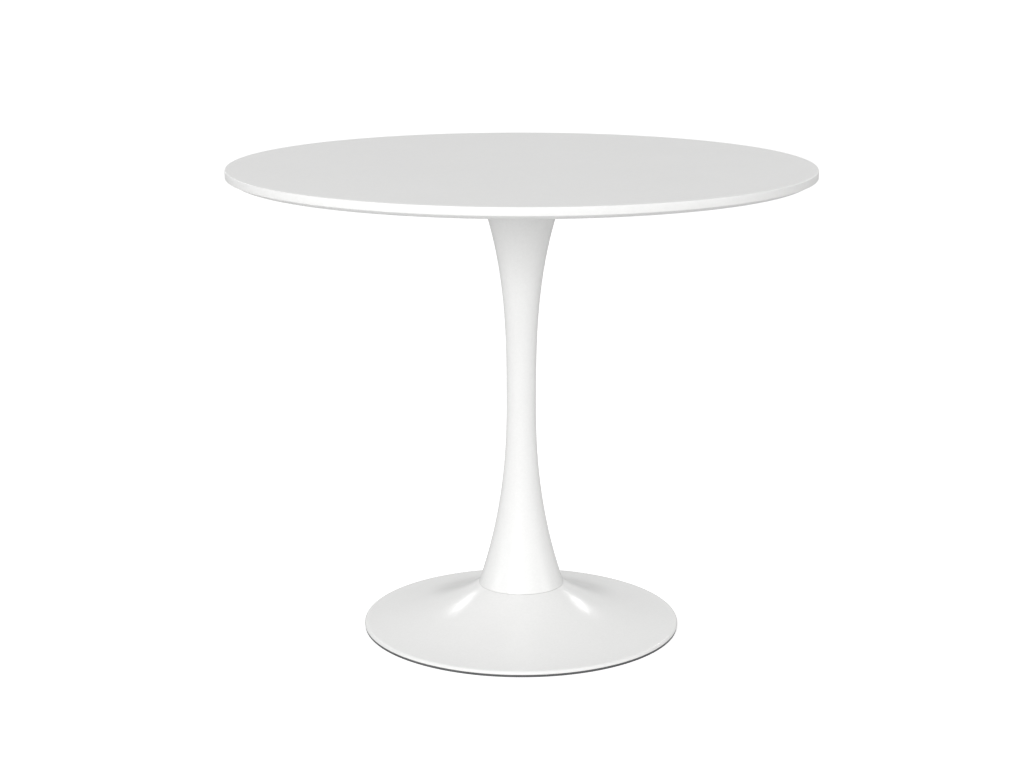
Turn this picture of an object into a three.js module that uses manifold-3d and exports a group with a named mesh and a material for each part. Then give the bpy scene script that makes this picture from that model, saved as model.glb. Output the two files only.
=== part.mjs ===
// A round pedestal table: a white lacquered board top, bolted through a steel plate to a
// trumpet-shaped steel column, which stands on a domed steel base with a cast-iron
// counterweight inside and a rubber ring under its rim.
// Millimetres, +Z up, with the origin on the floor at the middle of the base.

import * as THREE from 'three';
import { mergeVertices } from 'three/addons/utils/BufferGeometryUtils.js';
import Module from 'manifold-3d';

const wasm = await Module();
wasm.setup();

// ---------------------------------------------------------------- driving dimensions

const GAP = 0.3;               // left between two pieces that touch

const TABLE_HEIGHT = 735;
const TOP_RADIUS = 450;
const TOP_THICKNESS = 18;
const TOP_EDGE_HEIGHT = 12;    // upright part of the edge, above the undercut
const TOP_UNDERCUT = 12;       // how far the undercut runs in from the edge
const TOP_EDGE_ROUND = 1.5;

const MOUNTING_PLATE_RADIUS = 130;
const MOUNTING_PLATE_THICKNESS = 4;
const TOP_SCREW_COUNT = 8;
const TOP_SCREW_CIRCLE = 115;  // radius of the circle that the screws stand on
const INSERT_RADIUS = 5;
const INSERT_LENGTH = 13;

const COLUMN_WALL = 2;
const COLUMN_WAIST_HEIGHT = 361;
const COLUMN_WAIST_RADIUS = 23;
const COLUMN_HEAD_RADIUS = 72.8;
const COLUMN_HEAD_POWER = 2.87;  // how late the column opens towards the top
const COLUMN_FOOT_RADIUS = 67.3;
const COLUMN_FOOT_POWER = 2.24;  // how late it opens towards the base
const HEAD_PLATE_THICKNESS = 5;
const FOOT_PLATE_THICKNESS = 6;
const HEAD_SCREW_COUNT = 4;
const HEAD_SCREW_CIRCLE = 45;

const BASE_RADIUS = 250;
const BASE_WALL = 2;
const BASE_EDGE_ROUND = 4.5;
const BASE_RIM_HEIGHT = 4;     // the steel rim's lower edge, on top of the rubber ring
const BASE_RIM_STRAIGHT = 0.5; // upright part of the rim, below its round
const HUB_HEIGHT = 67.6;
const HUB_RADIUS = 66.8;       // flat seat that the column stands on
const HUB_ROUND = 3;
const HUB_SLOPE = 0.67;        // fall of the dome where it leaves the hub
const RIM_SLOPE = 0.05;        // fall of the dome where it reaches the rim

const HUB_PLATE_RADIUS = 58;
const HUB_PLATE_THICKNESS = 5;
const WEIGHT_RADIUS = 150;
const WEIGHT_UNDERSIDE = 12;
const WEIGHT_RIM_THICKNESS = 7;
const WEIGHT_ROOT_THICKNESS = 12;
const WEIGHT_BOSS_RADIUS = 60;
const WEIGHT_CORE_RADIUS = 24; // cored hollow in the boss, open below
const WEIGHT_CORE_DEPTH = 34;
const BOLT_COUNT = 4;
const BOLT_CIRCLE = 42;
const BOLT_POCKET_RADIUS = 10.5;
const BOLT_POCKET_DEPTH = 24;

const RING_OUTER_RADIUS = 249.4;
const RING_INNER_RADIUS = 242.5;
const RING_LIP_RADIUS = 246.4;
const RING_LIP_HEIGHT = 6.2;

// Metric fasteners: shank and head radii, head heights and lengths.
const M6 = { shank: 3, head: 6, headHeight: 3.3, length: 16, socket: 2.3, socketDepth: 2 };
const M8_FLAT = { shank: 4, head: 7.8, headHeight: 3.8, length: 12, socket: 2.9, socketDepth: 2.4 };
const M8_HEX = { shank: 4, head: 7.5, headHeight: 5.3, length: 45 };
const FLAT_WASHER = { radius: 8, thickness: 1.6 };
const SPRING_WASHER = { radius: 7.4, thickness: 2, slit: 1.5 };

// Facets round each kind of piece.
const TOP_FACETS = 96;
const BASE_FACETS = 60;
const COLUMN_FACETS = 36;
const PLATE_FACETS = 48;
const FASTENER_FACETS = 12;

// ---------------------------------------------------------------- heights that follow

const topUnderside = TABLE_HEIGHT - TOP_THICKNESS;
const mountingPlateTop = topUnderside - GAP;
const mountingPlateUnderside = mountingPlateTop - MOUNTING_PLATE_THICKNESS;
const columnTop = mountingPlateUnderside - GAP;
const columnBottom = HUB_HEIGHT + GAP;
const headPlateUnderside = columnTop - HEAD_PLATE_THICKNESS;
const footPlateTop = columnBottom + FOOT_PLATE_THICKNESS;
const hubPlateTop = HUB_HEIGHT - BASE_WALL - GAP;
const hubPlateUnderside = hubPlateTop - HUB_PLATE_THICKNESS;
const weightTop = hubPlateUnderside - GAP;
const boltPocketTop = WEIGHT_UNDERSIDE + BOLT_POCKET_DEPTH;

// ---------------------------------------------------------------- materials

const whiteLacquer = () => finish(0xf2f2f1, 0.35, 0);
const whitePowderCoat = () => finish(0xf0f0ef, 0.4, 0);
const zincPlate = () => finish(0xb9bcbf, 0.35, 0.9);
const brass = () => finish(0xb89a55, 0.35, 0.9);
const castIron = () => finish(0x3a3b3d, 0.7, 0.6);
const rubber = () => finish(0x37383a, 0.8, 0);

function finish(color, roughness, metalness) {
  return new THREE.MeshStandardMaterial({ color, roughness, metalness });
}

// ---------------------------------------------------------------- shapes

// A turned solid. The outline is a list of [radius, height] that goes up the outside and
// back down the inside; it starts and ends on the axis, or closes on itself.
function turned(outline, facets) {
  const points = outline.map(([radius, height]) => new THREE.Vector2(radius, height));
  return new THREE.LatheGeometry(points, facets).rotateX(Math.PI / 2);
}

function disc(radius, low, high, facets) {
  return turned([[0, low], [radius, low], [radius, high], [0, high]], facets);
}

function ring(inner, outer, low, high, facets) {
  return turned([[inner, low], [outer, low], [outer, high], [inner, high], [inner, low]], facets);
}

// A six-sided prism, for bolt heads and the sockets of screws.
function hexagon(cornerRadius, low, high) {
  return disc(cornerRadius, low, high, 6);
}

// Points of a round corner from one angle to another, in degrees.
function arc(centreRadius, centreHeight, radius, from, to, steps) {
  return Array.from({ length: steps + 1 }, (_, step) => {
    const angle = THREE.MathUtils.degToRad(from + ((to - from) * step) / steps);
    return [centreRadius + radius * Math.cos(angle), centreHeight + radius * Math.sin(angle)];
  });
}

// Centres of pieces that stand evenly on a circle, half a space on from the +X axis, each
// with its angle round the circle.
function onCircle(count, radius) {
  return Array.from({ length: count }, (_, place) => {
    const angle = ((2 * place + 1) * Math.PI) / count;
    return [radius * Math.cos(angle), radius * Math.sin(angle), angle];
  });
}

// The same cutter at each of the centres.
function repeated(geometry, centres) {
  return centres.map(([x, y]) => geometry.clone().translate(x, y, 0));
}

// A geometry as a solid that can be cut: one set of shared corners, without the flat
// triangles that a turned shape has on its axis.
function toSolid(geometry) {
  const bare = geometry.clone();
  bare.deleteAttribute('normal');
  bare.deleteAttribute('uv');
  const merged = mergeVertices(bare);
  const corners = merged.index.array;
  const triVerts = [];
  for (let i = 0; i < corners.length; i += 3) {
    const [a, b, c] = corners.slice(i, i + 3);
    if (a !== b && b !== c && c !== a) triVerts.push(a, b, c);
  }
  return new wasm.Manifold(new wasm.Mesh({
    numProp: 3,
    vertProperties: new Float32Array(merged.attributes.position.array),
    triVerts: new Uint32Array(triVerts),
  }));
}

function toGeometry(solid) {
  const mesh = solid.getMesh();
  const geometry = new THREE.BufferGeometry();
  geometry.setAttribute('position', new THREE.BufferAttribute(mesh.vertProperties, mesh.numProp));
  geometry.setIndex(new THREE.BufferAttribute(mesh.triVerts, 1));
  return geometry;
}

function cut(geometry, cutters) {
  const subtract = (solid, cutter) => solid.subtract(toSolid(cutter));
  return toGeometry(cutters.reduce(subtract, toSolid(geometry)));
}

function join(first, second) {
  return toGeometry(toSolid(first).add(toSolid(second)));
}

// ---------------------------------------------------------------- the assembly

const table = new THREE.Group();

function place(name, geometry, material, x = 0, y = 0, z = 0, turn = 0) {
  const mesh = new THREE.Mesh(geometry, material);
  mesh.name = name;
  mesh.position.set(x, y, z);
  mesh.rotation.z = turn;
  table.add(mesh);
}

const topScrewCentres = onCircle(TOP_SCREW_COUNT, TOP_SCREW_CIRCLE);
const headScrewCentres = onCircle(HEAD_SCREW_COUNT, HEAD_SCREW_CIRCLE);
const boltCentres = onCircle(BOLT_COUNT, BOLT_CIRCLE);

// The board top, with a small round on its upper edge, an undercut below, and blind holes
// for the threaded inserts.
function makeTableTop() {
  const undercutTop = TABLE_HEIGHT - TOP_EDGE_HEIGHT;
  const roundRadius = TOP_RADIUS - TOP_EDGE_ROUND;
  const roundHeight = TABLE_HEIGHT - TOP_EDGE_ROUND;
  const board = turned([
    [0, topUnderside],
    [TOP_RADIUS - TOP_UNDERCUT, topUnderside],
    [TOP_RADIUS, undercutTop],
    ...arc(roundRadius, roundHeight, TOP_EDGE_ROUND, 0, 90, 3),
    [0, TABLE_HEIGHT],
  ], TOP_FACETS);
  const holeTop = topUnderside + INSERT_LENGTH + 2 * GAP;
  const hole = disc(INSERT_RADIUS + GAP, topUnderside - 1, holeTop, FASTENER_FACETS);
  place('table_top', cut(board, repeated(hole, topScrewCentres)), whiteLacquer());
}

// Threaded inserts, pressed into the underside of the board.
function makeTopInserts() {
  const insert = ring(M6.shank + GAP, INSERT_RADIUS, 0, INSERT_LENGTH, FASTENER_FACETS);
  topScrewCentres.forEach(([x, y, turn], i) => {
    place(`top_insert_${i + 1}`, insert, brass(), x, y, topUnderside, turn);
  });
}

// The round steel plate between the column and the board.
function makeMountingPlate() {
  const plate = disc(MOUNTING_PLATE_RADIUS, mountingPlateUnderside, mountingPlateTop, PLATE_FACETS);
  const screwHole = disc(
    M6.shank + 2 * GAP, mountingPlateUnderside - 1, mountingPlateTop + 1, FASTENER_FACETS);
  const countersinkFoot = mountingPlateTop - M8_FLAT.headHeight;
  const countersink = turned([
    [0, mountingPlateUnderside - 1],
    [M8_FLAT.shank + GAP, mountingPlateUnderside - 1],
    [M8_FLAT.shank + GAP, countersinkFoot - GAP],
    [M8_FLAT.head + 2 * GAP, mountingPlateTop],
    [M8_FLAT.head + 2 * GAP, mountingPlateTop + 1],
    [0, mountingPlateTop + 1],
  ], FASTENER_FACETS);
  const cutters = [
    ...repeated(screwHole, topScrewCentres),
    ...repeated(countersink, headScrewCentres),
  ];
  place('mounting_plate', cut(plate, cutters), zincPlate());
}

// Button-head screws, put in from below, that hold the board on the plate.
function makeTopScrews() {
  const { shank, head, headHeight, length, socket, socketDepth } = M6;
  const body = turned([
    [0, -headHeight],
    [0.55 * head, -headHeight],
    [0.88 * head, -0.6 * headHeight],
    [head, -0.2 * headHeight],
    [head, 0],
    [shank, 0],
    [shank, length],
    [0, length],
  ], FASTENER_FACETS);
  const screw = cut(body, [hexagon(socket, -headHeight - 1, -headHeight + socketDepth)]);
  topScrewCentres.forEach(([x, y, turn], i) => {
    place(`top_screw_${i + 1}`, screw, zincPlate(), x, y, mountingPlateUnderside - GAP, turn);
  });
}

// Countersunk screws, put in from above, that hold the plate on the column.
function makeHeadScrews() {
  const { shank, head, headHeight, length, socket, socketDepth } = M8_FLAT;
  const body = turned([
    [0, -length],
    [shank, -length],
    [shank, -headHeight],
    [head, 0],
    [0, 0],
  ], FASTENER_FACETS);
  const screw = cut(body, [hexagon(socket, -socketDepth, 1)]);
  headScrewCentres.forEach(([x, y, turn], i) => {
    place(`head_screw_${i + 1}`, screw, zincPlate(), x, y, mountingPlateTop, turn);
  });
}

// Outer radius of the column at a height: a waist that opens by one power curve towards
// the head and by another towards the foot.
function columnRadius(height) {
  const towardsHead = height > COLUMN_WAIST_HEIGHT;
  const end = towardsHead ? columnTop : columnBottom;
  const flare = (towardsHead ? COLUMN_HEAD_RADIUS : COLUMN_FOOT_RADIUS) - COLUMN_WAIST_RADIUS;
  const power = towardsHead ? COLUMN_HEAD_POWER : COLUMN_FOOT_POWER;
  const share = (height - COLUMN_WAIST_HEIGHT) / (end - COLUMN_WAIST_HEIGHT);
  return COLUMN_WAIST_RADIUS + flare * share ** power;
}

// The spun steel tube, open at both ends.
function makeColumn() {
  const steps = 17;
  const outside = Array.from({ length: steps + 1 }, (_, step) => {
    const height = columnBottom + ((columnTop - columnBottom) * step) / steps;
    return [columnRadius(height), height];
  });
  const inside = outside.map(([radius, height]) => [radius - COLUMN_WALL, height]).reverse();
  place('column', turned([...outside, ...inside, outside[0]], COLUMN_FACETS), whitePowderCoat());
}

// A disc with threaded holes, welded inside one end of the column.
function makeEndPlate(name, low, high, narrowHeight, centres) {
  const radius = columnRadius(narrowHeight) - COLUMN_WALL - GAP;
  const plate = disc(radius, low, high, COLUMN_FACETS);
  const hole = disc(M8_HEX.shank + GAP, low - 1, high + 1, FASTENER_FACETS);
  place(name, cut(plate, repeated(hole, centres)), zincPlate());
}

function makeEndPlates() {
  makeEndPlate('column_head_plate', headPlateUnderside, columnTop, headPlateUnderside, headScrewCentres);
  makeEndPlate('column_foot_plate', columnBottom, footPlateTop, footPlateTop, boltCentres);
}

// The curve of the dome from the hub's round down to the rim's round, as a quadratic curve
// with the given falls at its two ends, moved inwards by a wall's thickness for the inside.
function domeCurve(thickness, steps) {
  const hubAngle = Math.atan(HUB_SLOPE);
  const start = new THREE.Vector2(
    HUB_RADIUS + HUB_ROUND * Math.sin(hubAngle),
    HUB_HEIGHT - HUB_ROUND * (1 - Math.cos(hubAngle)));
  const end = new THREE.Vector2(
    BASE_RADIUS - BASE_EDGE_ROUND, BASE_RIM_HEIGHT + BASE_RIM_STRAIGHT + BASE_EDGE_ROUND);
  const bendRadius =
    (start.y - end.y + HUB_SLOPE * start.x - RIM_SLOPE * end.x) / (HUB_SLOPE - RIM_SLOPE);
  const bend = new THREE.Vector2(bendRadius, end.y + RIM_SLOPE * (end.x - bendRadius));
  const curve = new THREE.QuadraticBezierCurve(start, bend, end);
  return Array.from({ length: steps + 1 }, (_, step) => {
    const point = curve.getPoint(step / steps);
    const along = curve.getTangent(step / steps);
    return [point.x + along.y * thickness, point.y - along.x * thickness];
  });
}

// The spun steel dome: a flat hub with bolt holes, a hollow flare and a rolled rim.
function makeBaseShell() {
  const steps = 8;
  const hubUnderside = HUB_HEIGHT - BASE_WALL;
  const rimCentre = [BASE_RADIUS - BASE_EDGE_ROUND, BASE_RIM_HEIGHT + BASE_RIM_STRAIGHT];
  const outside = [
    ...arc(...rimCentre, BASE_EDGE_ROUND, 0, 90, 3).slice(0, -1),
    ...domeCurve(0, steps).reverse(),
    [HUB_RADIUS, HUB_HEIGHT],
  ];
  const inside = [
    [HUB_RADIUS - BASE_WALL, hubUnderside],
    ...domeCurve(BASE_WALL, steps),
    ...arc(...rimCentre, BASE_EDGE_ROUND - BASE_WALL, 90, 0, 2).slice(1),
    [BASE_RADIUS - BASE_WALL, BASE_RIM_HEIGHT],
  ];
  const shell = turned([
    [0, hubUnderside],
    ...inside,
    [BASE_RADIUS, BASE_RIM_HEIGHT],
    ...outside,
    [0, HUB_HEIGHT],
  ], BASE_FACETS);
  const hole = disc(M8_HEX.shank + 2 * GAP, hubUnderside - 1, HUB_HEIGHT + 1, FASTENER_FACETS);
  place('base_shell', cut(shell, repeated(hole, boltCentres)), whitePowderCoat());
}

// The steel disc that stiffens the hub from below.
function makeHubPlate() {
  const plate = disc(HUB_PLATE_RADIUS, hubPlateUnderside, hubPlateTop, PLATE_FACETS);
  const hole = disc(M8_HEX.shank + 2 * GAP, hubPlateUnderside - 1, hubPlateTop + 1, FASTENER_FACETS);
  place('hub_plate', cut(plate, repeated(hole, boltCentres)), zincPlate());
}

// The cast counterweight: a disc with a raised boss that the bolts go up through, from
// deep pockets in its underside.
function makeCounterweight() {
  const chamfer = 1;
  const fillet = 4;
  const rimTop = WEIGHT_UNDERSIDE + WEIGHT_RIM_THICKNESS;
  const bossFoot = WEIGHT_UNDERSIDE + WEIGHT_ROOT_THICKNESS;
  const casting = turned([
    [0, WEIGHT_UNDERSIDE],
    [WEIGHT_RADIUS - chamfer, WEIGHT_UNDERSIDE],
    [WEIGHT_RADIUS, WEIGHT_UNDERSIDE + chamfer],
    [WEIGHT_RADIUS, rimTop - chamfer],
    [WEIGHT_RADIUS - chamfer, rimTop],
    [WEIGHT_BOSS_RADIUS + fillet, bossFoot],
    [WEIGHT_BOSS_RADIUS, bossFoot + fillet],
    [WEIGHT_BOSS_RADIUS, weightTop],
    [0, weightTop],
  ], PLATE_FACETS);
  const core = disc(
    WEIGHT_CORE_RADIUS, WEIGHT_UNDERSIDE - 1, WEIGHT_UNDERSIDE + WEIGHT_CORE_DEPTH, PLATE_FACETS / 2);
  const pocket = disc(BOLT_POCKET_RADIUS, WEIGHT_UNDERSIDE - 1, boltPocketTop, FASTENER_FACETS);
  const hole = disc(M8_HEX.shank + 2 * GAP, WEIGHT_UNDERSIDE, weightTop + 1, FASTENER_FACETS);
  const cutters = [core, ...repeated(pocket, boltCentres), ...repeated(hole, boltCentres)];
  place('counterweight', cut(casting, cutters), castIron());
}

// Each bolt goes up through a spring washer and a flat washer, the weight, the hub plate
// and the dome, into the thread of the column's foot plate.
function makeBaseBolts() {
  const { shank, head, headHeight, length } = M8_HEX;
  const bolt = join(hexagon(head, -headHeight, 0), disc(shank, -1, length, FASTENER_FACETS));
  const hole = shank + GAP;
  const flatWasher = ring(hole, FLAT_WASHER.radius, 0, FLAT_WASHER.thickness, FASTENER_FACETS);
  const slit = new THREE.BoxGeometry(SPRING_WASHER.radius, SPRING_WASHER.slit, 3 * SPRING_WASHER.thickness)
    .translate(hole + SPRING_WASHER.radius / 2 - 1, 0, 0);
  const springWasher = cut(
    ring(hole, SPRING_WASHER.radius, 0, SPRING_WASHER.thickness, FASTENER_FACETS), [slit]);
  const flatWasherLow = boltPocketTop - GAP - FLAT_WASHER.thickness;
  const springWasherLow = flatWasherLow - GAP - SPRING_WASHER.thickness;
  boltCentres.forEach(([x, y, turn], i) => {
    place(`flat_washer_${i + 1}`, flatWasher, zincPlate(), x, y, flatWasherLow, turn);
    place(`spring_washer_${i + 1}`, springWasher, zincPlate(), x, y, springWasherLow, turn);
    place(`base_bolt_${i + 1}`, bolt, zincPlate(), x, y, springWasherLow - GAP, turn);
  });
}

// The rubber ring that the table stands on, with a lip that sits inside the dome's rim.
function makeRubberRing() {
  const seat = BASE_RIM_HEIGHT - GAP;
  const edge = 0.6;
  const outline = [
    [RING_INNER_RADIUS, 0],
    [RING_OUTER_RADIUS - edge, 0],
    [RING_OUTER_RADIUS, edge],
    [RING_OUTER_RADIUS, seat],
    [RING_LIP_RADIUS, seat],
    [RING_LIP_RADIUS, RING_LIP_HEIGHT],
    [RING_INNER_RADIUS, RING_LIP_HEIGHT],
    [RING_INNER_RADIUS, 0],
  ];
  place('rubber_ring', turned(outline, BASE_FACETS), rubber());
}

makeTableTop();
makeTopInserts();
makeMountingPlate();
makeTopScrews();
makeHeadScrews();
makeColumn();
makeEndPlates();
makeBaseShell();
makeHubPlate();
makeCounterweight();
makeBaseBolts();
makeRubberRing();

export default table;
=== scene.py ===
# A round pedestal table. A white lacquered board is screwed to a steel plate, the plate to a
# trumpet-shaped steel column, and the column is bolted down to a domed steel base that holds
# an iron counterweight and stands on a rubber ring.
# Metres, +Z up, with the origin on the floor at the middle of the base.

import math
import bmesh
import bpy
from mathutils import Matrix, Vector


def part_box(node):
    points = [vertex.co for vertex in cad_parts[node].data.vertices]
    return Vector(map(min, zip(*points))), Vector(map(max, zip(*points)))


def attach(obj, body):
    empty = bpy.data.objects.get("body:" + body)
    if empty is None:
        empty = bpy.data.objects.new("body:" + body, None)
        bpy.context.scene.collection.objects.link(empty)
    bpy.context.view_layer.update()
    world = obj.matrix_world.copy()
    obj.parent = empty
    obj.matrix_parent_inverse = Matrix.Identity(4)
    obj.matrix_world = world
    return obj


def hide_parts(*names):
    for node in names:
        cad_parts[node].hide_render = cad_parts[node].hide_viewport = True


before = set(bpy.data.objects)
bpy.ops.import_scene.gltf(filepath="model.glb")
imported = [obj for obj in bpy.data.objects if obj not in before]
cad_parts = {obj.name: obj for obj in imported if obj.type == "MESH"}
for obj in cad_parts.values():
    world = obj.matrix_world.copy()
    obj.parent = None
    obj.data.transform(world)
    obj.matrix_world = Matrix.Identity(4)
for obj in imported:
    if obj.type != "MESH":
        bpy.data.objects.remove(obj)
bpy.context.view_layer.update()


# ---- Camera ----------------------------------------------------------------------------
# It stands at the height of a person's chest, a little over three metres away, and looks
# down on the board. The long lens keeps the board's ellipse flat.

camera_distance = 3.22
camera_height = 1.137
camera_fall = math.radians(13.04)
camera_turn = math.radians(0.26)

bpy.ops.object.camera_add(
    location=(0, -camera_distance, camera_height),
    rotation=(math.radians(90) - camera_fall, 0, camera_turn))
camera = bpy.context.object
camera.data.sensor_width = 36
camera.data.lens = 74.3
bpy.context.scene.camera = camera


# ---- Studio ----------------------------------------------------------------------------
# A white sweep in a pale room that is brightest in front. A soft key stands left of the
# camera, a weak box on either side, and two narrow boxes behind the table draw the bright
# spots beside the hub.

def linear(hex_colour):
    """An sRGB hex colour as the linear values that a shader takes."""
    channels = [int(hex_colour[place:place + 2], 16) / 255 for place in (1, 3, 5)]
    return [c / 12.92 if c <= 0.04045 else ((c + 0.055) / 1.055) ** 2.4 for c in channels] + [1]


def add_node(tree, kind, settings=None, links=None):
    """A new node, with its sockets or properties set and its inputs linked."""
    node = tree.nodes.new(kind)
    for name, value in (settings or {}).items():
        if name in node.inputs:
            node.inputs[name].default_value = value
        else:
            setattr(node, name, value)
    for name, source in (links or {}).items():
        tree.links.new(source, node.inputs[name])
    return node


def new_material(name, settings):
    """A material with one principled shader; returns it with its node tree and shader."""
    material = bpy.data.materials.new(name)
    material.use_nodes = True
    tree = material.node_tree
    shader = tree.nodes["Principled BSDF"]
    for socket, value in settings.items():
        shader.inputs[socket].default_value = value
    return material, tree, shader


def add_softbox(name, position, size, power, aim):
    """A rectangular soft light of a power in watts that faces a point."""
    toward = Vector(aim) - Vector(position)
    bpy.ops.object.light_add(
        type="AREA", location=position, rotation=toward.to_track_quat("-Z", "Y").to_euler())
    light = bpy.context.object
    light.name = name
    light.data.shape = "RECTANGLE"
    light.data.size, light.data.size_y = size
    light.data.energy = power


floor_size = 60
paper_glow = 0.65
bpy.ops.mesh.primitive_plane_add(size=floor_size)
floor = bpy.context.object
floor.name = "studio_floor"
sweep, tree, shader = new_material("matt paper sweep", {
    "Base Color": linear("#D3D3D3"),
    "Roughness": 0.9,
    "Specular IOR Level": 0.0,
    "Emission Color": linear("#FFFFFF"),
})
# The paper is lit from behind as well, so that it shows pure white, but it casts only its
# reflected light on the table.
seen = add_node(tree, "ShaderNodeLightPath").outputs["Is Camera Ray"]
glow = add_node(
    tree, "ShaderNodeMapRange", {"To Min": 0.0, "To Max": paper_glow}, {"Value": seen})
tree.links.new(glow.outputs["Result"], shader.inputs["Emission Strength"])
floor.data.materials.append(sweep)

front_wall = 1.25
side_walls = 0.42
rear_wall = 0.84
room = bpy.data.worlds.new("pale room")
room.use_nodes = True
bpy.context.scene.world = room
sky = room.node_tree
direction = add_node(sky, "ShaderNodeTexCoord")
depth = add_node(sky, "ShaderNodeSeparateXYZ", links={"Vector": direction.outputs["Generated"]})
front = add_node(sky, "ShaderNodeMapRange", {
    "interpolation_type": "SMOOTHSTEP",
    "From Min": 0.0, "From Max": -1.0, "To Min": side_walls, "To Max": front_wall},
    {"Value": depth.outputs["Y"]})
walls = add_node(sky, "ShaderNodeMapRange", {
    "interpolation_type": "SMOOTHSTEP",
    "From Min": 0.0, "From Max": 1.0, "To Max": rear_wall},
    {"Value": depth.outputs["Y"], "To Min": front.outputs["Result"]})
# Like the paper, the walls show pure white, so that no horizon is seen.
seen = add_node(sky, "ShaderNodeLightPath").outputs["Is Camera Ray"]
shown = add_node(sky, "ShaderNodeMapRange", {"To Max": 1.0},
                 {"Value": seen, "To Min": walls.outputs["Result"]})
sky.links.new(shown.outputs["Result"], sky.nodes["Background"].inputs["Strength"])
sky.nodes["Background"].inputs["Color"].default_value = linear("#FFFFFF")

column_middle = (0, 0, 0.45)
hub_middle = (0, 0, 0.06)
add_softbox("key_softbox", (-0.9, -3.1, 1.35), (1.8, 1.1), 34, column_middle)
add_softbox("left_softbox", (-3.0, -0.8, 1.1), (1.6, 1.2), 8, column_middle)
add_softbox("right_softbox", (3.0, -0.8, 1.1), (1.6, 1.2), 9, column_middle)
add_softbox("left_rear_box", (-1.33, 2.2, 1.6), (0.1, 0.42), 2.4, hub_middle)
add_softbox("right_rear_box", (1.33, 2.2, 1.6), (0.1, 0.42), 2.4, hub_middle)

# Whites stay white: the picture is shown as it is lit, without a film curve.
bpy.context.scene.view_settings.view_transform = "Standard"


# ---- Base dome -------------------------------------------------------------------------
# Sheet steel, spun over a form: a flat hub that carries the column, a hollow flare, and a
# rim turned down over a small round. It is powder-coated white all over.

MM = 0.001
TOUCH = 0.01 * MM   # places closer than this are one place
OVERCUT = 1 * MM    # how far a cutter reaches past the face that it goes through
BASE_FLATS = 256    # flats round the base
SMALL_FLATS = 48    # flats round a bolt, a screw or a hole


def deselect():
    """Leaves nothing selected, so that the next operator acts on the new piece alone."""
    bpy.ops.object.select_all(action="DESELECT")


def round_corner(centre, radius, start, end, steps):
    """Points of an arc in the outline's plane, between two angles in degrees."""
    angles = [math.radians(start + (end - start) * step / steps) for step in range(steps + 1)]
    return [(centre[0] + radius * math.cos(a), centre[1] + radius * math.sin(a)) for a in angles]


def turned(name, outline, segments, axis=(0, 0)):
    """A piece turned about an upright axis. One vertex is extruded along the outline of
    (radius, height) points, and the line is spun into a closed skin."""
    deselect()
    first = Vector((axis[0] + outline[0][0], axis[1], outline[0][1]))
    bpy.ops.mesh.primitive_plane_add(size=MM, location=first)
    piece = bpy.context.object
    piece.name = name
    bpy.ops.object.transform_apply(location=True, rotation=False, scale=False)
    bpy.ops.object.mode_set(mode="EDIT")
    bpy.ops.mesh.select_mode(type="VERT")
    bpy.ops.mesh.select_all(action="SELECT")
    bpy.ops.mesh.merge(type="CENTER")
    for (r0, z0), (r1, z1) in zip(outline, outline[1:]):
        bpy.ops.mesh.extrude_region_move(TRANSFORM_OT_translate={"value": (r1 - r0, 0, z1 - z0)})
    bpy.ops.mesh.select_all(action="SELECT")
    bpy.ops.mesh.spin(
        steps=segments, angle=2 * math.pi, center=(axis[0], axis[1], 0), axis=(0, 0, 1))
    bpy.ops.mesh.select_all(action="SELECT")
    bpy.ops.mesh.remove_doubles(threshold=TOUCH)
    bpy.ops.mesh.normals_make_consistent(inside=False)
    bpy.ops.object.mode_set(mode="OBJECT")
    return piece


def cut_with(piece, cutter, operation="DIFFERENCE"):
    """Cuts the piece with another one, which is used up."""
    deselect()
    bpy.context.view_layer.objects.active = piece
    piece.select_set(True)
    modifier = piece.modifiers.new("cut", "BOOLEAN")
    modifier.operation = operation
    modifier.solver = "EXACT"
    modifier.object = cutter
    bpy.ops.object.modifier_apply(modifier=modifier.name)
    bpy.data.objects.remove(cutter, do_unlink=True)


def ring_of_copies(piece, name, count):
    """Copies of a piece that lies on the +X side, set evenly round the table's axis, the
    first one half a space on. Each has its own mesh, and the first piece is used up."""
    copies = []
    for place in range(count):
        copy = piece.copy()
        copy.data = piece.data.copy()
        copy.name = f"{name}_{place + 1}"
        bpy.context.scene.collection.objects.link(copy)
        deselect()
        bpy.context.view_layer.objects.active = copy
        copy.select_set(True)
        copy.rotation_euler.z = (2 * place + 1) * math.pi / count
        bpy.ops.object.transform_apply(location=False, rotation=True, scale=False)
        copies.append(copy)
    bpy.data.objects.remove(piece, do_unlink=True)
    return copies


def drill(piece, count, circle, radius, low, high, chamfer=0.4 * MM):
    """Drills holes on a circle right through a disc, with broken edges at both faces."""
    mouth = radius + chamfer + OVERCUT
    bit_outline = [
        (0, low - OVERCUT), (mouth, low - OVERCUT), (radius, low + chamfer),
        (radius, high - chamfer), (mouth, high + OVERCUT), (0, high + OVERCUT)]
    bit = turned("bit", bit_outline, SMALL_FLATS, axis=(circle, 0))
    for copy in ring_of_copies(bit, "bit", count):
        cut_with(piece, copy)


def smooth(piece, sharpest=30):
    """Rounds the shading, apart from edges that turn by more than this angle in degrees."""
    deselect()
    bpy.context.view_layer.objects.active = piece
    piece.select_set(True)
    bpy.ops.object.shade_smooth_by_angle(angle=math.radians(sharpest))


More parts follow.
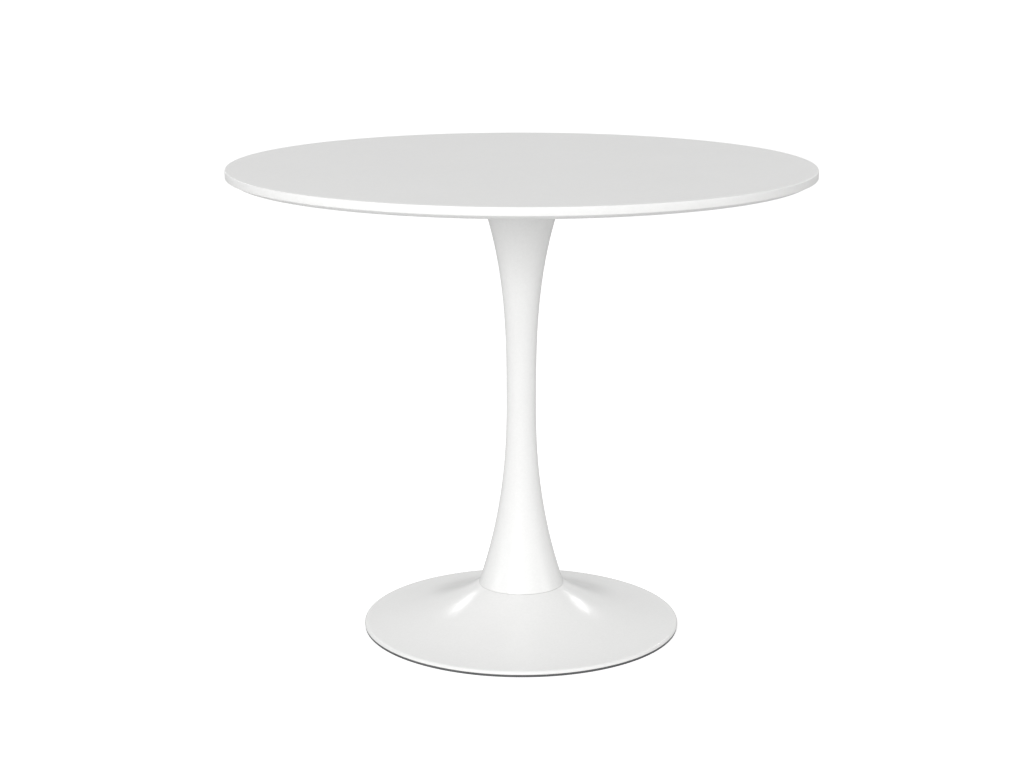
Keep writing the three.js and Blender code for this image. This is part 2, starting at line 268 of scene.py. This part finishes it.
def white_powder_coat():
    """Polyester powder, baked on steel: glossy, with a soft orange peel and a faint speckle of
    pigment, and a gloss that drifts a little from one hand's breadth to the next. The peel is
    about 1.5 mm from crest to crest and the speckle under 1 mm; both are drawn at 4 mm, so
    that they show."""
    material, tree, shader = new_material("baked powder coat, white", {
        "IOR": 1.5, "Specular IOR Level": 0.5})
    place = add_node(tree, "ShaderNodeTexCoord").outputs["Object"]
    peel = add_node(tree, "ShaderNodeTexNoise", {
        "Scale": 1 / (4 * MM), "Detail": 1.0, "Roughness": 0.4}, {"Vector": place})
    speckle = add_node(tree, "ShaderNodeTexNoise", {
        "Scale": 1 / (4 * MM), "Detail": 4.0, "Roughness": 0.7}, {"Vector": place})
    tone = add_node(tree, "ShaderNodeValToRGB", links={"Fac": speckle.outputs["Fac"]})
    tone.color_ramp.elements[0].position = 0.35
    tone.color_ramp.elements[0].color = linear("#F0F0EF")
    tone.color_ramp.elements[1].position = 0.65
    tone.color_ramp.elements[1].color = linear("#F3F3F2")
    drift = add_node(tree, "ShaderNodeTexNoise", {
        "Scale": 1 / (60 * MM), "Detail": 2.0, "Roughness": 0.5}, {"Vector": place})
    gloss = add_node(tree, "ShaderNodeMapRange", {
        "From Min": 0.3, "From Max": 0.7, "To Min": 0.19, "To Max": 0.22},
        {"Value": drift.outputs["Fac"]})
    bump = add_node(tree, "ShaderNodeBump", {"Strength": 0.1, "Distance": 0.05 * MM},
                    {"Height": peel.outputs["Fac"]})
    tree.links.new(tone.outputs["Color"], shader.inputs["Base Color"])
    tree.links.new(gloss.outputs["Result"], shader.inputs["Roughness"])
    tree.links.new(bump.outputs["Normal"], shader.inputs["Normal"])
    return material


dome_low, dome_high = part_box("base_shell")
base_radius = dome_high.x
rim_height = dome_low.z
hub_height = dome_high.z
dome_wall = 2 * MM
hub_radius = 66.8 * MM
hub_round = 3 * MM
hub_flat = 0.97 * hub_radius
hub_slope = 0.67
rim_slope = 0.05
rim_round = 4.5 * MM
rim_straight = 0.5 * MM
bolt_count = 4
bolt_circle = 42 * MM
bolt_hole = 4.6 * MM


def flare(inset, steps):
    """The dome's hollow curve from the hub to the rim, as a quadratic curve with a given fall
    at each end, moved inwards by the inset."""
    tilt = math.atan(hub_slope)
    start = Vector((
        hub_radius + hub_round * math.sin(tilt), hub_height - hub_round * (1 - math.cos(tilt))))
    end = Vector((base_radius - rim_round, rim_height + rim_straight + rim_round))
    drop = start.y - end.y + hub_slope * start.x - rim_slope * end.x
    bend_radius = drop / (hub_slope - rim_slope)
    bend = Vector((bend_radius, end.y + rim_slope * (end.x - bend_radius)))
    points = []
    for step in range(steps + 1):
        t = step / steps
        point = (1 - t) ** 2 * start + 2 * t * (1 - t) * bend + t ** 2 * end
        along = ((1 - t) * (bend - start) + t * (end - bend)).normalized()
        points.append((point.x + along.y * inset, point.y - along.x * inset))
    return points


rim_centre = (base_radius - rim_round, rim_height + rim_straight)
hub_centre = (hub_radius, hub_height - hub_round)
hub_tilt = math.degrees(math.atan(hub_slope))
dome_outline = (
    [(0, hub_height), (hub_flat, hub_height)]
    + round_corner(hub_centre, hub_round, 90, 90 - hub_tilt, 6)
    + flare(0, 48)[1:-1]
    + round_corner(rim_centre, rim_round, 90, 0, 10)
    + [(base_radius, rim_height), (base_radius - dome_wall, rim_height)]
    + round_corner(rim_centre, rim_round - dome_wall, 0, 90, 8)
    + flare(dome_wall, 32)[-2:0:-1]
    + [(hub_radius - dome_wall, hub_height - dome_wall), (0, hub_height - dome_wall)])
dome = turned("base_dome", dome_outline, BASE_FLATS)
drill(dome, bolt_count, bolt_circle, bolt_hole, hub_height - dome_wall, hub_height)
smooth(dome)
powder_coat = white_powder_coat()
dome.data.materials.append(powder_coat)
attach(dome, "root")
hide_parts("base_shell")


# ---- Rubber ring -----------------------------------------------------------------------
# A moulded ring of dark grey rubber under the rim. A lip sits inside the dome, and fine
# grooves in the sole grip the floor.

def moulded_rubber():
    """Dark grey EPDM, moulded: matt, with a fine grain and clouds of pale dust. The grain is
    about 0.5 mm, drawn at 1.5 mm so that it shows."""
    material, tree, shader = new_material("moulded rubber, dark grey", {
        "IOR": 1.52, "Roughness": 0.75})
    place = add_node(tree, "ShaderNodeTexCoord").outputs["Object"]
    grain = add_node(tree, "ShaderNodeTexNoise", {
        "Scale": 1 / (1.5 * MM), "Detail": 4.0}, {"Vector": place})
    dust = add_node(tree, "ShaderNodeTexNoise", {
        "Scale": 1 / (30 * MM), "Detail": 5.0}, {"Vector": place})
    tone = add_node(tree, "ShaderNodeValToRGB", links={"Fac": dust.outputs["Fac"]})
    tone.color_ramp.elements[0].position = 0.35
    tone.color_ramp.elements[0].color = linear("#565758")
    tone.color_ramp.elements[1].position = 0.75
    tone.color_ramp.elements[1].color = linear("#626364")
    bump = add_node(tree, "ShaderNodeBump", {"Strength": 0.3, "Distance": 0.1 * MM},
                    {"Height": grain.outputs["Fac"]})
    tree.links.new(tone.outputs["Color"], shader.inputs["Base Color"])
    tree.links.new(bump.outputs["Normal"], shader.inputs["Normal"])
    return material


ring_low, ring_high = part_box("rubber_ring")
ring_outer = ring_high.x
ring_inner = 242.5 * MM
ring_lip = 246.4 * MM
ring_seat = rim_height - 0.3 * MM
ring_round = 0.6 * MM
seat_round = 0.3 * MM
ring_lip_round = 0.5 * MM
groove_count = 3
groove_depth = 0.5 * MM
groove_pitch = 1.6 * MM
groove_side = 0.2 * MM
groove_width = 0.8 * MM
grooves = []
for place in range(groove_count):
    start = ring_inner + (place + 0.7) * groove_pitch
    end = start + groove_width
    grooves += [(start, 0), (start + groove_side, groove_depth),
                (end - groove_side, groove_depth), (end, 0)]
ring_outline = (
    [(ring_inner, ring_round), (ring_inner + ring_round, 0)]
    + grooves
    + round_corner((ring_outer - ring_round, ring_round), ring_round, -90, 0, 5)
    + round_corner((ring_outer - seat_round, ring_seat - seat_round), seat_round, 0, 90, 3)
    + [(ring_lip, ring_seat)]
    + round_corner((ring_lip - ring_lip_round, ring_high.z - ring_lip_round),
                   ring_lip_round, 0, 90, 3)
    + [(ring_inner, ring_high.z), (ring_inner, ring_round)])
rubber_ring = turned("rubber_foot_ring", ring_outline, BASE_FLATS)
smooth(rubber_ring)
rubber_ring.data.materials.append(moulded_rubber())
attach(rubber_ring, "root")
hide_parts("rubber_ring")


# ---- Hub plate -------------------------------------------------------------------------
# A disc of rolled steel plate under the thin hub, so that the bolts don't pull it in. It is
# cut round, drilled with four plain holes and held by the bolts alone.

def rolled_steel():
    """Plain mild steel plate, cut and oiled: grey with darker mill scale in patches."""
    material, tree, shader = new_material("rolled steel plate, oiled", {"Metallic": 1.0})
    place = add_node(tree, "ShaderNodeTexCoord").outputs["Object"]
    scale_patches = add_node(tree, "ShaderNodeTexNoise", {
        "Scale": 1 / (25 * MM), "Detail": 8.0, "Roughness": 0.65}, {"Vector": place})
    tone = add_node(tree, "ShaderNodeValToRGB", links={"Fac": scale_patches.outputs["Fac"]})
    tone.color_ramp.elements[0].position = 0.35
    tone.color_ramp.elements[0].color = linear("#77797B")
    tone.color_ramp.elements[1].position = 0.65
    tone.color_ramp.elements[1].color = linear("#A3A5A6")
    gloss = add_node(tree, "ShaderNodeMapRange", {
        "From Min": 0.3, "From Max": 0.7, "To Min": 0.5, "To Max": 0.34},
        {"Value": scale_patches.outputs["Fac"]})
    tree.links.new(tone.outputs["Color"], shader.inputs["Base Color"])
    tree.links.new(gloss.outputs["Result"], shader.inputs["Roughness"])
    return material


def pick_edges(piece, test):
    """In edit mode, selects the edges whose two ends both pass a test on their place."""
    edges = bmesh.from_edit_mesh(piece.data)
    for edge in edges.edges:
        edge.select_set(all(test(end.co) for end in edge.verts))
    edges.select_flush_mode()
    bmesh.update_edit_mesh(piece.data)


def bevel_rim(piece, radius, height, width, segments=2):
    """In edit mode, rounds the circular edge of a disc at a radius and height."""
    bpy.ops.mesh.select_mode(type="EDGE")
    pick_edges(piece, lambda place: (
        abs(place.z - height) < TOUCH and abs(place.xy.length - radius) < TOUCH))
    bpy.ops.mesh.bevel(offset=width, segments=segments, affect="EDGES")


def blank_disc(name, radius, low, high, segments):
    """A disc sawn to size, left open in edit mode."""
    deselect()
    bpy.ops.mesh.primitive_cylinder_add(
        vertices=segments, radius=radius, depth=high - low, location=(0, 0, (low + high) / 2))
    disc = bpy.context.object
    disc.name = name
    bpy.ops.object.transform_apply(location=True, rotation=False, scale=False)
    bpy.ops.object.mode_set(mode="EDIT")
    return disc


def round_plate(name, node, rim=0.5 * MM):
    """A flat steel disc with filed edges, as large as its node."""
    plate_flats = 128
    low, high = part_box(node)
    disc = blank_disc(name, high.x, low.z, high.z, plate_flats)
    bevel_rim(disc, high.x, low.z, rim)
    bevel_rim(disc, high.x, high.z, rim)
    bpy.ops.object.mode_set(mode="OBJECT")
    return disc


hub_plate_low, hub_plate_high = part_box("hub_plate")
hub_plate = round_plate("hub_stiffener", "hub_plate")
drill(hub_plate, bolt_count, bolt_circle, bolt_hole, hub_plate_low.z, hub_plate_high.z)
smooth(hub_plate)
oiled_steel = rolled_steel()
hub_plate.data.materials.append(oiled_steel)
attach(hub_plate, "root")
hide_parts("hub_plate")


# ---- Counterweight ---------------------------------------------------------------------
# Grey iron, sand-cast and dipped in black paint: a disc with a cored boss, and four deep
# pockets for the bolts' heads. Its lower face carries a raised band round the rim.

def dipped_iron():
    """Sand-cast grey iron under thin black paint: grainy and uneven. The crests of the grain are
    painted a little paler, a painted sheen, and its hollows darker, a painted shade. The sand's
    grain is about 0.5 mm, drawn at 2 mm so that it shows."""
    material, tree, shader = new_material("sand-cast iron, dipped black", {
        "IOR": 1.5, "Roughness": 0.55})
    place = add_node(tree, "ShaderNodeTexCoord").outputs["Object"]
    sand = add_node(tree, "ShaderNodeTexNoise", {
        "Scale": 1 / (2 * MM), "Detail": 6.0, "Roughness": 0.7}, {"Vector": place})
    swell = add_node(tree, "ShaderNodeTexNoise", {
        "Scale": 1 / (22 * MM), "Detail": 2.0}, {"Vector": place})
    # Painted sheen and shade: the tone follows the grain's bump height, so the crests are painted
    # paler and the hollows darker.
    tone = add_node(tree, "ShaderNodeValToRGB", links={"Fac": sand.outputs["Fac"]})
    tone.color_ramp.elements[0].position = 0.3
    tone.color_ramp.elements[0].color = linear("#1D1E20")
    tone.color_ramp.elements[1].position = 0.8
    tone.color_ramp.elements[1].color = linear("#38393B")
    soft_bump = add_node(tree, "ShaderNodeBump", {"Strength": 0.4, "Distance": 1 * MM},
                         {"Height": swell.outputs["Fac"]})
    bump = add_node(tree, "ShaderNodeBump", {"Strength": 0.6, "Distance": 0.4 * MM},
                    {"Height": sand.outputs["Fac"], "Normal": soft_bump.outputs["Normal"]})
    tree.links.new(tone.outputs["Color"], shader.inputs["Base Color"])
    tree.links.new(bump.outputs["Normal"], shader.inputs["Normal"])
    return material


weight_low, weight_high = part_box("counterweight")
weight_radius = weight_high.x
weight_rim = 7 * MM
weight_root = 12 * MM
boss_radius = 60 * MM
core_radius = 24 * MM
core_depth = 34 * MM
pocket_radius = 10.5 * MM
pocket_depth = 24 * MM
band_width = 14 * MM
band_depth = 1.2 * MM
cast_round = 2 * MM
root_round = 6 * MM
weight_flats = 192
pocket_flats = 64
rim_top = weight_low.z + weight_rim
weight_outline = (
    [(0, weight_low.z + core_depth)]
    + round_corner((core_radius - cast_round, weight_low.z + core_depth - cast_round),
                   cast_round, 90, 0, 5)
    + [(core_radius, weight_low.z + band_depth + cast_round)]
    + round_corner((core_radius + cast_round, weight_low.z + band_depth + cast_round),
                   cast_round, 180, 270, 5)[1:]
    + [(weight_radius - band_width - band_depth, weight_low.z + band_depth),
       (weight_radius - band_width, weight_low.z)]
    + round_corner((weight_radius - cast_round, weight_low.z + cast_round), cast_round, -90, 0, 6)
    + round_corner((weight_radius - cast_round, rim_top - cast_round), cast_round, 0, 80, 6)
    + round_corner((boss_radius + root_round, weight_low.z + weight_root + root_round),
                   root_round, 268, 180, 8)
    + round_corner((boss_radius - cast_round, weight_high.z - cast_round), cast_round, 0, 90, 5)
    + [(0, weight_high.z)])
weight = turned("iron_weight", weight_outline, weight_flats)
pocket_bit = turned("pocket_bit", [
    (0, weight_low.z - OVERCUT), (pocket_radius, weight_low.z - OVERCUT),
    (pocket_radius, weight_low.z + pocket_depth), (0, weight_low.z + pocket_depth)],
    pocket_flats, axis=(bolt_circle, 0))
for bit in ring_of_copies(pocket_bit, "pocket_bit", bolt_count):
    cut_with(weight, bit)
drill(weight, bolt_count, bolt_circle, bolt_hole, weight_low.z + pocket_depth, weight_high.z)
smooth(weight, sharpest=40)
weight.data.materials.append(dipped_iron())
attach(weight, "root")
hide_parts("counterweight")


# ---- Column ----------------------------------------------------------------------------
# One steel tube, spun into a trumpet at both ends and powder-coated white like the dome.
# It stands on the hub with a hairline joint.

column_low, column_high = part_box("column")
column_wall = 2 * MM
waist_height = 361 * MM
waist_radius = 23 * MM
head_radius = column_high.x
head_power = 2.87
foot_radius = 67.3 * MM
foot_power = 2.24
lip_round = 0.5 * MM
column_flats = 160


def column_radius(height):
    """The outside of the tube at a height: one power curve up from the waist, one down."""
    if height > waist_height:
        end, flared, power = column_high.z, head_radius, head_power
    else:
        end, flared, power = column_low.z, foot_radius, foot_power
    share = (height - waist_height) / (end - waist_height)
    return waist_radius + (flared - waist_radius) * share ** power


column_steps = 96
column_rise = (column_high.z - column_low.z) / column_steps
column_heights = [column_low.z + step * column_rise for step in range(1, column_steps)]
column_outline = (
    round_corner((foot_radius - lip_round, column_low.z + lip_round), lip_round, -90, 0, 4)
    + [(column_radius(z), z) for z in column_heights]
    + [(head_radius, column_high.z), (head_radius - column_wall, column_high.z)]
    + [(column_radius(z) - column_wall, z) for z in reversed(column_heights)]
    + [(foot_radius - column_wall, column_low.z), (foot_radius - lip_round, column_low.z)])
column = turned("column_tube", column_outline, column_flats)
smooth(column)
column.data.materials.append(powder_coat)
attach(column, "root")
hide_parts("column")


# ---- Column end plates -----------------------------------------------------------------
# A disc of steel plate is welded inside each end of the tube, with four threaded holes. The
# bolts of the base bite in the lower one, the countersunk screws in the upper one.

head_screw_count = 4
head_screw_circle = 45 * MM
thread_hole = 4.3 * MM
foot_plate_low, foot_plate_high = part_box("column_foot_plate")
foot_plate = round_plate("foot_plate", "column_foot_plate")
drill(foot_plate, bolt_count, bolt_circle, thread_hole, foot_plate_low.z, foot_plate_high.z)
head_plate_low, head_plate_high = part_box("column_head_plate")
head_plate = round_plate("head_plate", "column_head_plate")
drill(head_plate, head_screw_count, head_screw_circle, thread_hole,
      head_plate_low.z, head_plate_high.z)
for end_plate, node in ((foot_plate, "column_foot_plate"), (head_plate, "column_head_plate")):
    smooth(end_plate)
    end_plate.data.materials.append(oiled_steel)
    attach(end_plate, "root")
    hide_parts(node)


# ---- Base bolts ------------------------------------------------------------------------
# M8 hexagon bolts go up through a lock washer and a plain washer, the counterweight, the hub
# plate and the dome, into the column's foot plate. All are zinc-plated.

def zinc_plate():
    """Steel with clear zinc plating: bright, a little clouded, with a faint blue cast."""
    material, tree, shader = new_material("zinc-plated steel, clear", {"Metallic": 1.0})
    place = add_node(tree, "ShaderNodeTexCoord").outputs["Object"]
    cloud = add_node(tree, "ShaderNodeTexNoise", {
        "Scale": 1 / (12 * MM), "Detail": 4.0, "Distortion": 0.6}, {"Vector": place})
    tone = add_node(tree, "ShaderNodeValToRGB", links={"Fac": cloud.outputs["Fac"]})
    tone.color_ramp.elements[0].position = 0.3
    tone.color_ramp.elements[0].color = linear("#B4B8BC")
    tone.color_ramp.elements[1].position = 0.7
    tone.color_ramp.elements[1].color = linear("#C9CACB")
    gloss = add_node(tree, "ShaderNodeMapRange", {
        "From Min": 0.3, "From Max": 0.7, "To Min": 0.28, "To Max": 0.42},
        {"Value": cloud.outputs["Fac"]})
    tree.links.new(tone.outputs["Color"], shader.inputs["Base Color"])
    tree.links.new(gloss.outputs["Result"], shader.inputs["Roughness"])
    return material


def lay_pieces(pieces, node, finish):
    """Gives a ring of copies their finish, and lets each stand for its own node."""
    for number, piece in enumerate(pieces, 1):
        piece.data.materials.append(finish)
        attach(piece, "root")
        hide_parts(f"{node}_{number}")


zinc = zinc_plate()
bolt_low, bolt_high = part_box("base_bolt_1")
bolt_shank = 4 * MM
bolt_head_height = 5.3 * MM
bolt_head_corner = 7.5 * MM
bolt_head_flat = 6.5 * MM
bolt_head_chamfer = 0.9 * MM
bolt_tip = 1 * MM
bolt_blank = bolt_head_corner + 0.1 * MM
bolt_seat = bolt_low.z + bolt_head_height
bolt = turned("long_bolt", [
    (0, bolt_low.z),
    (0.93 * bolt_head_flat, bolt_low.z),
    (bolt_blank, bolt_low.z + bolt_head_chamfer),
    (bolt_blank, bolt_seat),
    (bolt_shank, bolt_seat),
    (bolt_shank, bolt_high.z - bolt_tip),
    (bolt_shank - bolt_tip, bolt_high.z),
    (0, bolt_high.z)], SMALL_FLATS, axis=(bolt_circle, 0))
deselect()
bpy.ops.mesh.primitive_cylinder_add(
    vertices=6, radius=bolt_head_corner, depth=bolt_high.z - bolt_low.z + 2 * OVERCUT,
    location=(bolt_circle, 0, (bolt_low.z + bolt_high.z) / 2))
cut_with(bolt, bpy.context.object, "INTERSECT")
smooth(bolt)
bolts = ring_of_copies(bolt, "long_bolt", bolt_count)
lay_pieces(bolts, "base_bolt", zinc)


def washer(name, node, outer, inner, round_edge, circle):
    """A flat ring with broken edges, at the height of its node."""
    washer_flats = 64
    low, high = (corner.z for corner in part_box(node))
    outline = (
        [(inner, low), (outer - round_edge, low), (outer, low + round_edge),
         (outer, high - round_edge), (outer - round_edge, high), (inner, high), (inner, low)])
    return turned(name, outline, washer_flats, axis=(circle, 0))


washer_hole = 4.3 * MM
washer_edge = 0.2 * MM
plain_radius = 8 * MM
plain_washer = washer(
    "plain_washer", "flat_washer_1", plain_radius, washer_hole, washer_edge, bolt_circle)
smooth(plain_washer)
plain_washers = ring_of_copies(plain_washer, "plain_washer", bolt_count)
lay_pieces(plain_washers, "flat_washer", zinc)

lock_radius = 7.4 * MM
lock_washer = washer(
    "lock_washer", "spring_washer_1", lock_radius, washer_hole, washer_edge, bolt_circle)
slit_length = 7 * MM
slit_height = 8 * MM
slit_middle = 6.5 * MM
slit_width = 1.5 * MM
slit_slant = math.radians(20)
lock_low, lock_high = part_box("spring_washer_1")
deselect()
bpy.ops.mesh.primitive_cube_add(
    size=1, scale=(slit_length, slit_width, slit_height), rotation=(slit_slant, 0, 0),
    location=(bolt_circle + slit_middle, 0, (lock_low.z + lock_high.z) / 2))
cut_with(lock_washer, bpy.context.object)
smooth(lock_washer)
lock_washers = ring_of_copies(lock_washer, "lock_washer", bolt_count)
lay_pieces(lock_washers, "spring_washer", zinc)


# ---- Mounting plate --------------------------------------------------------------------
# A round steel plate on top of the column, zinc-plated, with eight plain holes for the
# board's screws and four countersunk ones for the column's.

board_screw_count = 8
board_screw_circle = 115 * MM
board_screw_hole = 3.6 * MM
flat_head_radius = 7.8 * MM
flat_head_height = 3.8 * MM
sink_depth = flat_head_height + 0.3 * MM
sink_radius = flat_head_radius + 0.6 * MM
mounting_rim = 0.8 * MM
plate_low, plate_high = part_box("mounting_plate")
mounting_plate = round_plate("mounting_disc", "mounting_plate", mounting_rim)
drill(mounting_plate, board_screw_count, board_screw_circle, board_screw_hole,
      plate_low.z, plate_high.z)
countersink = turned("countersink", [
    (0, plate_low.z - OVERCUT),
    (thread_hole, plate_low.z - OVERCUT),
    (thread_hole, plate_high.z - sink_depth),
    (sink_radius, plate_high.z),
    (sink_radius, plate_high.z + OVERCUT),
    (0, plate_high.z + OVERCUT)], SMALL_FLATS, axis=(head_screw_circle, 0))
for bit in ring_of_copies(countersink, "countersink", head_screw_count):
    cut_with(mounting_plate, bit)
smooth(mounting_plate)
mounting_plate.data.materials.append(zinc)
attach(mounting_plate, "root")
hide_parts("mounting_plate")


# ---- Column screws ---------------------------------------------------------------------
# Countersunk M8 screws with a hexagon socket hold the mounting plate on the column's head.
# They are put in from above, and their heads lie sunk in the plate.

def cut_socket(screw, circle, corner, low, high):
    """Sinks a six-sided socket in a screw's head."""
    deselect()
    bpy.ops.mesh.primitive_cylinder_add(
        vertices=6, radius=corner, depth=high - low, location=(circle, 0, (low + high) / 2))
    cut_with(screw, bpy.context.object)


flat_screw_low, flat_screw_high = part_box("head_screw_1")
flat_screw_shank = 4 * MM
flat_screw_tip = 0.7 * MM
flat_head_land = 0.2 * MM
flat_socket_corner = 2.9 * MM
flat_socket_depth = 2.4 * MM
flat_screw = turned("flat_head_screw", [
    (0, flat_screw_low.z),
    (flat_screw_shank - flat_screw_tip, flat_screw_low.z),
    (flat_screw_shank, flat_screw_low.z + flat_screw_tip),
    (flat_screw_shank, flat_screw_high.z - flat_head_height),
    (flat_head_radius, flat_screw_high.z - flat_head_land),
    (flat_head_radius, flat_screw_high.z),
    (0, flat_screw_high.z)], SMALL_FLATS, axis=(head_screw_circle, 0))
cut_socket(flat_screw, head_screw_circle, flat_socket_corner,
           flat_screw_high.z - flat_socket_depth, flat_screw_high.z + OVERCUT)
smooth(flat_screw)
flat_screws = ring_of_copies(flat_screw, "flat_head_screw", head_screw_count)
lay_pieces(flat_screws, "head_screw", zinc)


# ---- Board -----------------------------------------------------------------------------
# The table's top: 18 mm fibreboard, turned round, with a small round on the upper edge and
# an undercut that makes it look thinner. It is sprayed with satin white lacquer all over.

def satin_lacquer():
    """Two-pack lacquer on fibreboard, sanded and sprayed: satin and very even, with a faint
    peel about 3 mm from crest to crest, drawn at 6 mm so that it shows."""
    material, tree, shader = new_material("sprayed satin lacquer, white", {
        "IOR": 1.5, "Specular IOR Level": 0.5})
    place = add_node(tree, "ShaderNodeTexCoord").outputs["Object"]
    peel = add_node(tree, "ShaderNodeTexNoise", {
        "Scale": 1 / (6 * MM), "Detail": 1.0, "Roughness": 0.4}, {"Vector": place})
    mist = add_node(tree, "ShaderNodeTexNoise", {
        "Scale": 1 / (6 * MM), "Detail": 5.0, "Roughness": 0.7}, {"Vector": place})
    tone = add_node(tree, "ShaderNodeValToRGB", links={"Fac": mist.outputs["Fac"]})
    tone.color_ramp.elements[0].position = 0.35
    tone.color_ramp.elements[0].color = linear("#EFEFEE")
    tone.color_ramp.elements[1].position = 0.65
    tone.color_ramp.elements[1].color = linear("#F2F2F1")
    drift = add_node(tree, "ShaderNodeTexNoise", {
        "Scale": 1 / (120 * MM), "Detail": 2.0, "Roughness": 0.5}, {"Vector": place})
    gloss = add_node(tree, "ShaderNodeMapRange", {
        "From Min": 0.3, "From Max": 0.7, "To Min": 0.36, "To Max": 0.42},
        {"Value": drift.outputs["Fac"]})
    bump = add_node(tree, "ShaderNodeBump", {"Strength": 0.1, "Distance": 0.05 * MM},
                    {"Height": peel.outputs["Fac"]})
    tree.links.new(tone.outputs["Color"], shader.inputs["Base Color"])
    tree.links.new(gloss.outputs["Result"], shader.inputs["Roughness"])
    tree.links.new(bump.outputs["Normal"], shader.inputs["Normal"])
    return material


board_low, board_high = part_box("table_top")
board_radius = board_high.x
edge_height = 12 * MM
undercut = 12 * MM
edge_round = 1.5 * MM
undercut_lower_break = 0.5 * MM
undercut_upper_break = 0.3 * MM
face_border = 8 * MM
board_flats = 384
undercut_top = board_high.z - edge_height
insert_length = 13 * MM
insert_hole = 5.3 * MM
insert_hole_top = board_low.z + insert_length + 0.6 * MM
board = blank_disc("board", board_radius, board_low.z, board_high.z, board_flats)
bpy.ops.mesh.select_all(action="SELECT")
bpy.ops.mesh.bisect(plane_co=(0, 0, undercut_top), plane_no=(0, 0, 1))
bpy.ops.mesh.select_mode(type="EDGE")
pick_edges(board, lambda place: place.z < board_low.z + 1 * MM)
narrowing = (board_radius - undercut) / board_radius
bpy.ops.transform.resize(value=(narrowing, narrowing, 1))
bevel_rim(board, board_radius - undercut, board_low.z, undercut_lower_break)
bevel_rim(board, board_radius, undercut_top, undercut_upper_break)
bevel_rim(board, board_radius, board_high.z, edge_round, 8)
bpy.ops.mesh.select_mode(type="FACE")
bpy.ops.mesh.select_all(action="DESELECT")
bpy.ops.object.mode_set(mode="OBJECT")
for face in board.data.polygons:
    face.select = abs(face.normal.z) > 0.999
bpy.ops.object.mode_set(mode="EDIT")
bpy.ops.mesh.inset(thickness=face_border)
bpy.ops.object.mode_set(mode="OBJECT")
insert_bit = turned("insert_bit", [
    (0, board_low.z - OVERCUT), (insert_hole, board_low.z - OVERCUT),
    (insert_hole, insert_hole_top), (0, insert_hole_top)],
    SMALL_FLATS, axis=(board_screw_circle, 0))
for bit in ring_of_copies(insert_bit, "insert_bit", board_screw_count):
    cut_with(board, bit)
smooth(board, sharpest=20)
board.data.materials.append(satin_lacquer())
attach(board, "root")
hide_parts("table_top")


# ---- Threaded inserts ------------------------------------------------------------------
# Turned brass sleeves with a thread inside and rings outside that grip the fibreboard. They
# are pressed in flush with the underside of the board.

def turned_brass():
    """Free-cutting brass, turned: warm yellow, bright, with a slight tarnish in small clouds."""
    material, tree, shader = new_material("turned brass", {"Metallic": 1.0})
    place = add_node(tree, "ShaderNodeTexCoord").outputs["Object"]
    tarnish = add_node(tree, "ShaderNodeTexNoise", {
        "Scale": 1 / (4 * MM), "Detail": 4.0}, {"Vector": place})
    tone = add_node(tree, "ShaderNodeValToRGB", links={"Fac": tarnish.outputs["Fac"]})
    tone.color_ramp.elements[0].position = 0.3
    tone.color_ramp.elements[0].color = linear("#C39B52")
    tone.color_ramp.elements[1].position = 0.7
    tone.color_ramp.elements[1].color = linear("#DDBB72")
    gloss = add_node(tree, "ShaderNodeMapRange", {
        "From Min": 0.3, "From Max": 0.7, "To Min": 0.32, "To Max": 0.24},
        {"Value": tarnish.outputs["Fac"]})
    tree.links.new(tone.outputs["Color"], shader.inputs["Base Color"])
    tree.links.new(gloss.outputs["Result"], shader.inputs["Roughness"])
    return material


insert_low, insert_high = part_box("top_insert_1")
insert_outer = 5 * MM
insert_bore = 3.3 * MM
insert_bore_break = 0.3 * MM
insert_lead = 0.8 * MM
grip_depth = 0.5 * MM
grip_side = 0.4 * MM
grip_margin = 1.5 * MM
grip_count = 4
grip_pitch = (insert_high.z - insert_low.z - 2 * grip_margin) / grip_count
grips = []
for place in range(grip_count):
    start = insert_low.z + grip_margin + place * grip_pitch
    grips += [(insert_outer, start), (insert_outer - grip_depth, start + grip_side),
              (insert_outer - grip_depth, start + 0.5 * grip_pitch)]
insert_outline = (
    [(insert_bore + insert_bore_break, insert_low.z), (insert_outer, insert_low.z)] + grips
    + [(insert_outer, insert_high.z - insert_lead), (insert_outer - insert_lead, insert_high.z),
       (insert_bore, insert_high.z), (insert_bore, insert_low.z + insert_bore_break),
       (insert_bore + insert_bore_break, insert_low.z)])
insert = turned("threaded_insert", insert_outline, SMALL_FLATS, axis=(board_screw_circle, 0))
smooth(insert)
inserts = ring_of_copies(insert, "threaded_insert", board_screw_count)
lay_pieces(inserts, "top_insert", turned_brass())


# ---- Board screws ----------------------------------------------------------------------
# Button-head M6 screws with a hexagon socket, put in from below through the mounting plate
# into the brass inserts. They are zinc-plated like the bolts.

screw_low, screw_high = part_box("top_screw_1")
screw_shank = 3 * MM
screw_head = 6 * MM
screw_head_height = 3.3 * MM
screw_head_land = 0.5 * MM
screw_tip = 0.6 * MM
screw_socket_corner = 2.3 * MM
screw_socket_depth = 2 * MM
screw_seat = screw_low.z + screw_head_height
crown_height = screw_head_height - screw_head_land
crown_steps = 7
button = []
for step in range(crown_steps + 1):
    angle = math.radians(90 * step / crown_steps)
    button.append((screw_head * (0.5 + 0.5 * math.sin(angle)),
                   screw_seat - screw_head_land - crown_height * math.cos(angle)))
board_screw = turned("board_screw", [(0, screw_low.z)] + button + [
    (screw_head, screw_seat),
    (screw_shank, screw_seat),
    (screw_shank, screw_high.z - screw_tip),
    (screw_shank - screw_tip, screw_high.z),
    (0, screw_high.z)], SMALL_FLATS, axis=(board_screw_circle, 0))
cut_socket(board_screw, board_screw_circle, screw_socket_corner,
           screw_low.z - OVERCUT, screw_low.z + screw_socket_depth)
smooth(board_screw)
board_screws = ring_of_copies(board_screw, "board_screw", board_screw_count)
lay_pieces(board_screws, "top_screw", zinc)
